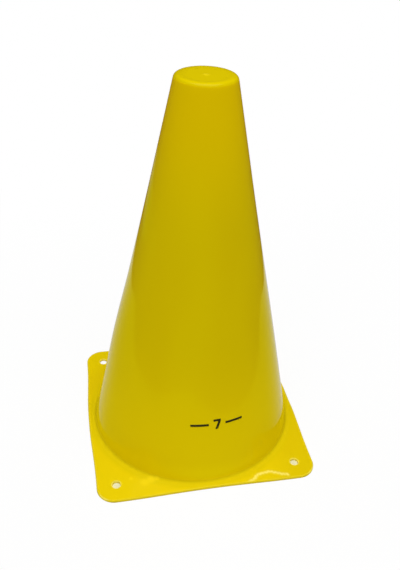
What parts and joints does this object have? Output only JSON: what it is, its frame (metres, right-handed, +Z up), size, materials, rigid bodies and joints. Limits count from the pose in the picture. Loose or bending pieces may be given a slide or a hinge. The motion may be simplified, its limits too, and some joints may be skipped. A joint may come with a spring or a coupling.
{
  "type": "sports marker cone",
  "caption": "Hollow tapered marker cone on a thin square plate with rounded corners and a peg hole in each corner, open below for stacking.",
  "frame": {"origin": "centre of the base plate's underside, where the cone's axis meets the ground", "axes": "+Z up along the cone's axis, X and Y along the plate's sides, the print on the -Y side"},
  "size_m": [0.135, 0.135, 0.23],
  "materials": {
    "plate_plastic": "glossy moulded yellow polyethylene",
    "cone_plastic": "glossy moulded yellow polyethylene",
    "print_ink": "thin black pad-printed ink"
  },
  "bodies": {
    "root": {"base_plate": "plate_plastic", "foot_ring": "cone_plastic", "cone_wall": "cone_plastic", "crown": "cone_plastic", "number_print": "print_ink"}
  },
  "joints": []
}
